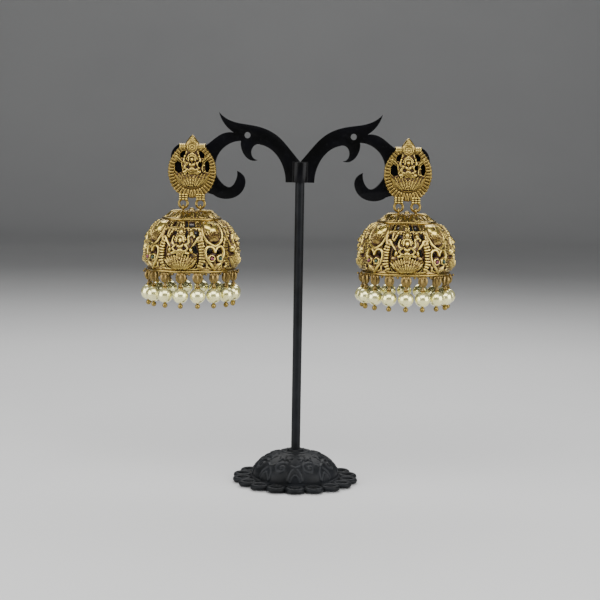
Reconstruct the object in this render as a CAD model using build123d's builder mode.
"""A pair of jhumka earrings on the small moulded stand that holds them, in millimetres.

+Z is up and the ornament faces -Y. The origin is on the ground, under the stand's rod.
An earring is a stud plate pinned through the stand's arm, and a bell that hangs from the
plate's two rings by two loops, so that it swings about a line along X.
"""

import math
import os

from build123d import *

os.makedirs("parts", exist_ok=True)

# Stand base: a ring of looped scallops round a low dome
BASE_RIM_T = 2.2
SCALLOPS = 18
SCALLOP_CIRCLE_R = 17.7
SCALLOP_R = 3.3
SCALLOP_HOLE_R = 1.85
DOME_R = 14.3
DOME_TOP_Z = 10.4
ROD_SOCKET_DEPTH = 6.0
ROD_FOOT_Z = DOME_TOP_Z - ROD_SOCKET_DEPTH

# Rod, held in the dome and in the head's hub
ROD_R = 1.5
ROD_GAP = 0.05
HUB_R = 2.75
HUB_BOTTOM_Z = 99.5
HUB_TOP_Z = 106.2
ROD_TOP_Z = 105.0

# Moulded head: one flat plate, outlined for the +X arm as x, z
HEAD_T = 2.4
CREST_EDGE = [(0, 106.2), (3.7, 110.6), (8.0, 114.9), (14.9, 117.7), (21.1, 118.7), (26.6, 121.9)]
LEAF_UNDERSIDE = [(26.6, 121.9), (25.2, 118.7), (21.8, 115.4)]
SHOULDER = [(21.8, 115.4), (28.0, 113.3), (31.2, 110.9), (34.8, 110.0), (38.6, 111.8)]
PAD_SIDE = [(38.6, 111.8), (42.1, 108.0), (39.9, 101.4), (33.0, 96.7), (28.2, 95.1)]
CURL_OUTSIDE = [(28.2, 95.1), (23.6, 93.8), (19.3, 95.7), (17.8, 99.3), (20.6, 103.0)]
CURL_INSIDE = [(20.6, 103.0), (20.8, 100.2), (22.8, 97.7), (26.1, 99.6), (27.7, 104.0)]
HOLLOW_TOP = [(27.7, 104.0), (26.7, 108.3), (23.0, 111.8), (19.4, 112.7)]
BEAK_BACK = [(19.4, 112.7), (18.8, 109.1), (16.4, 106.6), (13.8, 106.6)]
BEAK_THROAT = [(13.8, 106.6), (16.0, 108.7), (15.3, 111.0), (13.0, 111.6)]
ARM_UNDERSIDE = [(13.0, 111.6), (9.9, 110.3), (6.5, 106.5), (4.7, 99.5)]
HEAD_FOOT_X = 4.7
SPARE_HOLE_X = 17.3
SPARE_HOLE_Z = 114.6
SPARE_HOLE_R = 1.0

# Ear post and its round back
EARRING_X = 35.1
POST_Z = 104.4
POST_R = 0.45
POST_HOLE_R = 0.6
POST_END_Y = 5.6
BACK_R = 3.0
BACK_T = 2.6
BACK_EDGE_R = 0.5

# Stud plate, whose back lies against the head
SEAT_GAP = 0.05
STUD_BACK_Y = -(HEAD_T / 2 + SEAT_GAP)
STUD_T = 1.0
STUD_W = 16.1
STUD_Z = 102.4
STUD_H = 17.2
BAND_INSET = 0.1
BAND_W = 2.6
BAND_BOTTOM_EXTRA = 0.5
BAND_INSIDE_Z = 102.7
BAND_GAP_W = 5.1
BAND_GAP_H = 6.2
BAND_RISE = 2.1
FINIAL_TIP_Z = 114.6
FINIAL_W = 4.9
FINIAL_FOOT_Z = 108.6
KNOB_X = 3.4
KNOB_Z = 110.6
KNOB_W = 1.7
STUD_SIDE_OPENING = (4.3, 103.8, 1.4, 3.2)
STUD_TOP_OPENING = (3.2, 107.4, 1.1, 1.3)
SEAT_R = 5.3
SEAT_Z = 101.5
FIGURE_RISE = 2.9
FIGURE_W = 4.0
FIGURE_H = 7.4
FIGURE_Z = 104.4
ROSETTE_R = 1.5
ROSETTE_Z = 110.4
INNER_RISE = 2.2

# Rings under the stud, and the loops of the bell that hang in them
LINK_X = 2.8
RING_R = 1.4
RING_WIRE_R = 0.4
LOOP_R = 0.9
LOOP_WIRE_R = 0.32
HINGE_Y = -2.2
HINGE_Z = 90.75
TAB_W = 3.0
TAB_TOP_Z = 95.2
TAB_BOTTOM_Z = 93.2
TAB_BACK = 0.2
TAB_T = 1.8

# Bell: a spherical cap on a rounded shoulder and a slightly flared wall
CAP_TOP_Z = 90.0
CAP_EDGE_R = 9.0
CAP_EDGE_Z = 87.4
CAP_T = 1.1
CAP_INNER_EDGE_R = 8.4
CAP_FLAT_R = 0.6
SHOULDER_T_DROP = 0.6
SHOULDER_MID_R = 11.9
SHOULDER_MID_Z = 84.9
SHOULDER_R = 13.5
SHOULDER_Z = 81.0
RIM_R = 14.0
RIM_Z = 71.0
WALL_T = 1.2
CAP_WIRE_R = 0.45
RIM_WIRE_R = 0.5
PANELS = 4
LEFT_TURN = -10.0
RIGHT_TURN = -3.0

# What stands on a panel or goes through it, from the bell's axis outward
CUT_AT_R = 12.0
CUT_REACH = 5.0
TOP_OPENING = (3.9, 84.6, 2.1, 1.5, 0)
SLANT_OPENING = (3.1, 81.6, 1.2, 2.4, 20)
SIDE_OPENING = (4.9, 77.9, 1.5, 2.4, 0)
LOTUS_SEAT_R = 4.5
LOTUS_SEAT_Z = 76.5
RELIEF_BACK_R = 13.6
LOTUS_SEAT_T = 2.2
DEITY_W = 3.4
DEITY_H = 8.6
DEITY_Z = 79.2
DEITY_BACK_R = 12.0
DEITY_T = 3.2
LOTUS_FRAME_R = 3.2
LOTUS_FRAME_Z = 81.4
LOTUS_FRAME_BACK_R = 11.7
LOTUS_FRAME_T = 2.7
LOTUS_OPENING_Z = 82.8
LOTUS_OPENING_W = 0.8
HEART_POINT_Z = 72.0
HEART_SIDE_X = 3.6
HEART_SIDE_Z = 75.6
HEART_TOP_X = 3.2
HEART_TOP_Z = 78.3
HEART_T = 1.6
HEART_OPENING = (1.55, 77.4, 1.5, 0.8)

# Skirt, pearls and their pins
PEARLS = 16
PEARL_CIRCLE_R = 14.0
PEARL_Z = 63.3
PEARL_R = 2.5
PEARL_BORE_R = 0.4
PIN_R = 0.3
GRANULE_R = 0.85
COLLAR_R = 0.8
COLLAR_T = 0.45
COLLAR_GAP = 0.05
BUD_W = 3.2
BUD_TOP_Z = 71.6
BUD_SIDE_X = 1.3
BUD_SIDE_Z = 68.9
BUD_TIP_W = 0.7
BUD_TIP_Z = 67.2
BUD_T = 0.8

# Stones and their bezels in the heart panels
BEZEL_X = 1.55
BEZEL_Z = 75.3
BEZEL_R = 1.15
BEZEL_BACK_R = 13.0
BEZEL_FRONT_R = 15.9
STONE_R = 0.72
STONE_SINK = 0.5
STONE_SEAT_R = 0.8
STONE_SEAT_DEPTH = 1.3


def write(piece, label):
    piece.part.label = label
    export_step(piece.part, f"parts/{label}.step")


def facing(azimuth, radius):
    """Plane square to a bell's radius: x to the viewer's right, y up, z outward."""
    turn = math.radians(azimuth)
    outward = Vector(math.sin(turn), -math.cos(turn), 0)
    rightward = Vector(math.cos(turn), math.sin(turn), 0)
    return Plane(origin=outward * radius, x_dir=rightward, z_dir=outward)


def stud_plane(side):
    """The back of a stud plate, seen from the front, its origin on the plate's centre line."""
    return Plane(origin=(side * EARRING_X, STUD_BACK_Y, 0), x_dir=(1, 0, 0), z_dir=(0, -1, 0))


# ---------------------------------------------------------------- stand
with BuildPart() as stand_base:
    with BuildSketch() as rim:
        Circle(SCALLOP_CIRCLE_R)
        with PolarLocations(SCALLOP_CIRCLE_R, SCALLOPS, start_angle=-90):
            Circle(SCALLOP_R)
        with PolarLocations(SCALLOP_CIRCLE_R, SCALLOPS, start_angle=-90):
            Circle(SCALLOP_HOLE_R, mode=Mode.SUBTRACT)
    extrude(amount=BASE_RIM_T)
    with BuildSketch(Plane.XZ) as dome_half:
        with BuildLine():
            EllipticalCenterArc(
                (0, BASE_RIM_T), DOME_R, DOME_TOP_Z - BASE_RIM_T, start_angle=0, arc_size=90
            )
            Polyline((0, DOME_TOP_Z), (0, 0), (DOME_R, 0), (DOME_R, BASE_RIM_T))
        make_face()
    revolve(axis=Axis.Z)
    with Locations((0, 0, ROD_FOOT_Z)):
        Cylinder(
            ROD_R + ROD_GAP,
            ROD_SOCKET_DEPTH,
            align=(Align.CENTER, Align.CENTER, Align.MIN),
            mode=Mode.SUBTRACT,
        )
write(stand_base, "stand_base")

with BuildPart() as stand_rod:
    with BuildSketch(Plane.XY.offset(ROD_FOOT_Z)):
        Circle(ROD_R)
    extrude(amount=ROD_TOP_Z - ROD_FOOT_Z)
write(stand_rod, "stand_rod")

with BuildPart() as stand_head:
    with BuildSketch(Plane.XZ) as head_outline:
        with BuildLine():
            for stretch in (
                CREST_EDGE,
                LEAF_UNDERSIDE,
                SHOULDER,
                PAD_SIDE,
                CURL_OUTSIDE,
                CURL_INSIDE,
                HOLLOW_TOP,
                BEAK_BACK,
                BEAK_THROAT,
                ARM_UNDERSIDE,
            ):
                Spline(*stretch)
            Polyline((HEAD_FOOT_X, HUB_BOTTOM_Z), (0, HUB_BOTTOM_Z), (0, HUB_TOP_Z))
        make_face()
        mirror(about=Plane.YZ)
    extrude(amount=HEAD_T / 2, both=True)
    with BuildSketch(Plane.XY.offset(HUB_BOTTOM_Z)):
        Circle(HUB_R)
    extrude(amount=HUB_TOP_Z - HUB_BOTTOM_Z)
    with BuildSketch(Plane.XY.offset(HUB_BOTTOM_Z)):
        Circle(ROD_R + ROD_GAP)
    extrude(amount=ROD_TOP_Z - HUB_BOTTOM_Z, mode=Mode.SUBTRACT)
    for side in (-1, 1):
        with Locations(Location((side * SPARE_HOLE_X, 0, SPARE_HOLE_Z), (90, 0, 0))):
            Cylinder(SPARE_HOLE_R, 2 * HEAD_T, mode=Mode.SUBTRACT)
        with Locations(Location((side * EARRING_X, 0, POST_Z), (90, 0, 0))):
            Cylinder(POST_HOLE_R, 2 * HEAD_T, mode=Mode.SUBTRACT)
write(stand_head, "stand_head")


# ---------------------------------------------------------------- studs and their posts
def add_link_rings(side):
    """The two rings under a stud, which face forward and hold the bell's loops."""
    for link in (-LINK_X, LINK_X):
        ring_at = (side * EARRING_X + link, HINGE_Y, HINGE_Z + RING_R)
        with Locations(Location(ring_at, (90, 0, 0))):
            Torus(RING_R, RING_WIRE_R)


def make_stud(side):
    """A cast stud: pierced plate, ribbed band round it, seated figure on a lotus, two ringed tabs."""
    back = stud_plane(side)
    raised = back.offset(STUD_T / 2)
    with BuildPart() as stud:
        with BuildSketch(back) as plate:
            with Locations((0, STUD_Z)):
                Ellipse(STUD_W / 2, STUD_H / 2)
            with BuildLine():
                Polyline(
                    (-FINIAL_W / 2, KNOB_Z),
                    (0, FINIAL_TIP_Z),
                    (FINIAL_W / 2, KNOB_Z),
                    (0, FINIAL_FOOT_Z),
                    close=True,
                )
            make_face()
            with Locations((-KNOB_X, KNOB_Z), (KNOB_X, KNOB_Z)):
                Rectangle(KNOB_W, KNOB_W)
            for across, z, width, height in (STUD_SIDE_OPENING, STUD_TOP_OPENING):
                with Locations((-across, z), (across, z)):
                    Rectangle(width, height, mode=Mode.SUBTRACT)
        extrude(amount=STUD_T)
        with BuildSketch(raised) as band:
            with Locations((0, STUD_Z)):
                Ellipse(STUD_W / 2 - BAND_INSET, STUD_H / 2 - BAND_INSET)
            with Locations((0, BAND_INSIDE_Z)):
                Ellipse(
                    STUD_W / 2 - BAND_W,
                    STUD_H / 2 - BAND_W - BAND_BOTTOM_EXTRA,
                    mode=Mode.SUBTRACT,
                )
            with Locations((0, STUD_Z + STUD_H / 2)):
                Rectangle(BAND_GAP_W, BAND_GAP_H, mode=Mode.SUBTRACT)
        extrude(amount=BAND_RISE - STUD_T / 2)
        with BuildSketch(raised) as seat:
            with Locations((0, SEAT_Z)):
                Circle(SEAT_R)
                with Locations((0, SEAT_R)):
                    Rectangle(3 * SEAT_R, 2 * SEAT_R, mode=Mode.SUBTRACT)
        extrude(amount=FIGURE_RISE - STUD_T / 2)
        with BuildSketch(raised) as figure:
            with Locations((0, FIGURE_Z)):
                Rectangle(FIGURE_W, FIGURE_H)
            with Locations((0, ROSETTE_Z)):
                Circle(ROSETTE_R)
        extrude(amount=INNER_RISE - STUD_T / 2)
        with BuildSketch(back.offset(TAB_BACK)) as tabs:
            tab_z = (TAB_TOP_Z + TAB_BOTTOM_Z) / 2
            with Locations((-LINK_X, tab_z), (LINK_X, tab_z)):
                Rectangle(TAB_W, TAB_TOP_Z - TAB_BOTTOM_Z)
        extrude(amount=TAB_T)
        add_link_rings(side)
    return stud


def make_post(side):
    """The ear post behind a stud with its round back pushed on, as one plain piece."""
    with BuildPart() as post:
        post_plane = Plane(origin=(side * EARRING_X, 0, POST_Z), x_dir=(1, 0, 0), z_dir=(0, 1, 0))
        with BuildSketch(post_plane.offset(STUD_BACK_Y)):
            Circle(POST_R)
        extrude(amount=POST_END_Y - STUD_BACK_Y)
        with BuildSketch(post_plane.offset(HEAD_T / 2 + SEAT_GAP)):
            Circle(BACK_R)
        extrude(amount=BACK_T)
        fillet(post.edges().filter_by(GeomType.CIRCLE).sort_by(Axis.Y)[-2:-1], BACK_EDGE_R)
    return post


# ---------------------------------------------------------------- bells
def bell_wall():
    """The shell of the bell with its cap wire and rim wire, still without its openings."""
    cap_rise = CAP_TOP_Z - CAP_EDGE_Z
    cap_sphere_r = (CAP_EDGE_R**2 + cap_rise**2) / (2 * cap_rise)
    sphere_z = CAP_TOP_Z - cap_sphere_r
    inner_sphere_r = cap_sphere_r - CAP_T
    outer_lean = math.degrees(math.asin(CAP_EDGE_R / cap_sphere_r))
    inner_lean = math.degrees(math.asin(CAP_INNER_EDGE_R / inner_sphere_r))
    inner_edge_z = sphere_z + inner_sphere_r * math.cos(math.radians(inner_lean))
    outer_flat_lean = math.degrees(math.asin(CAP_FLAT_R / cap_sphere_r))
    inner_flat_lean = math.degrees(math.asin(CAP_FLAT_R / inner_sphere_r))
    with BuildPart() as wall:
        with BuildSketch(Plane.XZ):
            with BuildLine():
                outer_cap = CenterArc(
                    (0, sphere_z), cap_sphere_r, 90 - outer_lean, outer_lean - outer_flat_lean
                )
                ThreePointArc(
                    (CAP_EDGE_R, CAP_EDGE_Z),
                    (SHOULDER_MID_R, SHOULDER_MID_Z),
                    (SHOULDER_R, SHOULDER_Z),
                )
                Polyline(
                    (SHOULDER_R, SHOULDER_Z),
                    (RIM_R, RIM_Z),
                    (RIM_R - WALL_T, RIM_Z),
                    (SHOULDER_R - WALL_T, SHOULDER_Z),
                )
                ThreePointArc(
                    (SHOULDER_R - WALL_T, SHOULDER_Z),
                    (SHOULDER_MID_R - WALL_T, SHOULDER_MID_Z - SHOULDER_T_DROP),
                    (CAP_INNER_EDGE_R, inner_edge_z),
                )
                inner_cap = CenterArc(
                    (0, sphere_z), inner_sphere_r, 90 - inner_lean, inner_lean - inner_flat_lean
                )
                Polyline(
                    inner_cap @ 1,
                    (0, (inner_cap @ 1).Y),
                    (0, (outer_cap @ 1).Y),
                    outer_cap @ 1,
                )
            make_face()
        revolve(axis=Axis.Z)
        with Locations((0, 0, CAP_EDGE_Z)):
            Torus(CAP_EDGE_R, CAP_WIRE_R)
        with Locations((0, 0, RIM_Z)):
            Torus(RIM_R, RIM_WIRE_R)
    return wall


def add_figure_panel(azimuth):
    """A seated figure on a round lotus seat, with three openings on each side of it."""
    with BuildSketch(facing(azimuth, CUT_AT_R)) as openings:
        for mirrored in (-1, 1):
            for across, z, width, height, slant in (TOP_OPENING, SLANT_OPENING, SIDE_OPENING):
                with Locations((mirrored * across, z)):
                    Rectangle(width, height, rotation=-mirrored * slant)
    extrude(openings.sketch, amount=CUT_REACH, both=True, mode=Mode.SUBTRACT)
    with BuildSketch(facing(azimuth, RELIEF_BACK_R)) as seat:
        with Locations((0, LOTUS_SEAT_Z)):
            Circle(LOTUS_SEAT_R)
            with Locations((0, LOTUS_SEAT_R)):
                Rectangle(3 * LOTUS_SEAT_R, 2 * LOTUS_SEAT_R, mode=Mode.SUBTRACT)
    extrude(seat.sketch, amount=LOTUS_SEAT_T)
    with BuildSketch(facing(azimuth, DEITY_BACK_R)) as figure:
        with Locations((0, DEITY_Z)):
            Rectangle(DEITY_W, DEITY_H)
    extrude(figure.sketch, amount=DEITY_T)


def add_heart_panel(azimuth):
    """A lotus in a round frame over a pierced heart with two bezels."""
    with BuildSketch(facing(azimuth, LOTUS_FRAME_BACK_R)) as lotus:
        with Locations((0, LOTUS_FRAME_Z)):
            Circle(LOTUS_FRAME_R)
    extrude(lotus.sketch, amount=LOTUS_FRAME_T)
    with BuildSketch(facing(azimuth, RELIEF_BACK_R)) as heart:
        with BuildLine():
            Polyline(
                (0, HEART_POINT_Z),
                (HEART_SIDE_X, HEART_SIDE_Z),
                (HEART_TOP_X, HEART_TOP_Z),
                (-HEART_TOP_X, HEART_TOP_Z),
                (-HEART_SIDE_X, HEART_SIDE_Z),
                close=True,
            )
        make_face()
    extrude(heart.sketch, amount=HEART_T)
    heart_x, heart_z, heart_opening_w, heart_opening_h = HEART_OPENING
    with BuildSketch(facing(azimuth, CUT_AT_R)) as openings:
        with Locations((-heart_x, heart_z), (heart_x, heart_z)):
            Rectangle(heart_opening_w, heart_opening_h)
        with Locations((0, LOTUS_OPENING_Z)):
            Rectangle(LOTUS_OPENING_W, LOTUS_OPENING_W)
    extrude(openings.sketch, amount=CUT_REACH, both=True, mode=Mode.SUBTRACT)
    with BuildSketch(facing(azimuth, BEZEL_BACK_R)) as bezels:
        with Locations((-BEZEL_X, BEZEL_Z), (BEZEL_X, BEZEL_Z)):
            Circle(BEZEL_R)
    extrude(bezels.sketch, amount=BEZEL_FRONT_R - BEZEL_BACK_R)
    with BuildSketch(facing(azimuth, BEZEL_FRONT_R)) as stone_seats:
        with Locations((-BEZEL_X, BEZEL_Z), (BEZEL_X, BEZEL_Z)):
            Circle(STONE_SEAT_R)
    extrude(stone_seats.sketch, amount=-STONE_SEAT_DEPTH, mode=Mode.SUBTRACT)


def add_bud(azimuth):
    """One bud of the skirt, hung from the rim wire."""
    with BuildSketch(facing(azimuth, PEARL_CIRCLE_R - BUD_T / 2)) as bud:
        with BuildLine():
            Polyline(
                (-BUD_W / 2, BUD_TOP_Z),
                (BUD_W / 2, BUD_TOP_Z),
                (BUD_SIDE_X, BUD_SIDE_Z),
                (BUD_TIP_W / 2, BUD_TIP_Z),
                (-BUD_TIP_W / 2, BUD_TIP_Z),
                (-BUD_SIDE_X, BUD_SIDE_Z),
                close=True,
            )
        make_face()
    extrude(bud.sketch, amount=BUD_T)


with BuildPart() as openwork:
    add(bell_wall().part)
    for panel in range(PANELS):
        add_figure_panel(panel * 360 / PANELS)
        add_heart_panel((panel + 0.5) * 360 / PANELS)
    for place in range(PEARLS):
        add_bud(place * 360 / PEARLS)


def bell_place(side, turn):
    """Where a bell's own axis stands, with its panels turned about it."""
    return Location((side * EARRING_X, HINGE_Y, 0), (0, 0, turn))


def make_bell(side, turn):
    """The openwork turned to its place, with the two loops that hang in the stud's rings."""
    with BuildPart() as bell:
        with Locations(bell_place(side, turn)):
            add(openwork.part)
        for link in (-LINK_X, LINK_X):
            with Locations(Location((side * EARRING_X + link, HINGE_Y, HINGE_Z), (0, 90, 0))):
                Torus(LOOP_R, LOOP_WIRE_R)
    return bell


def bell_point(side, turn, azimuth, radius, across, z):
    """A point of a bell from its panel coordinates."""
    local = facing(azimuth, radius).from_local_coords((across, z, 0))
    return bell_place(side, turn) * Location(local)


def make_stones(side, turn, across):
    """The cabochons of one colour, one in each heart panel."""
    with BuildPart() as stones:
        for panel in range(PANELS):
            azimuth = (panel + 0.5) * 360 / PANELS
            seat = bell_point(side, turn, azimuth, BEZEL_FRONT_R - STONE_SINK, across, BEZEL_Z)
            with Locations(seat):
                Sphere(STONE_R)
    return stones


def make_pins(side, turn):
    """A headpin through each pearl, with a collar above and a granule below."""
    with BuildPart() as pins:
        for place in range(PEARLS):
            azimuth = place * 360 / PEARLS
            foot = bell_point(side, turn, azimuth, PEARL_CIRCLE_R, 0, PEARL_Z - PEARL_R)
            with Locations(foot):
                with Locations((0, 0, -GRANULE_R)):
                    Cylinder(
                        PIN_R,
                        BUD_TIP_Z - PEARL_Z + PEARL_R + GRANULE_R,
                        align=(Align.CENTER, Align.CENTER, Align.MIN),
                    )
                with Locations((0, 0, 2 * PEARL_R + COLLAR_T / 2 + COLLAR_GAP)):
                    Cylinder(COLLAR_R, COLLAR_T)
                with Locations((0, 0, -GRANULE_R)):
                    Sphere(GRANULE_R)
    return pins


def make_pearl(side, turn, place):
    """One drilled pearl under its bud."""
    with BuildPart() as pearl:
        with Locations(bell_point(side, turn, place * 360 / PEARLS, PEARL_CIRCLE_R, 0, PEARL_Z)):
            Sphere(PEARL_R)
            Cylinder(PEARL_BORE_R, 3 * PEARL_R, mode=Mode.SUBTRACT)
    return pearl


for hand, side, turn in (("left", -1, LEFT_TURN), ("right", 1, RIGHT_TURN)):
    write(make_stud(side), f"{hand}_stud")
    write(make_post(side), f"{hand}_post")
    write(make_bell(side, turn), f"{hand}_bell")
    write(make_stones(side, turn, -BEZEL_X), f"{hand}_red_stones")
    write(make_stones(side, turn, BEZEL_X), f"{hand}_green_stones")
    write(make_pins(side, turn), f"{hand}_pearl_pins")
    for place in range(PEARLS):
        write(make_pearl(side, turn, place), f"{hand}_pearl_{place + 1:02d}")
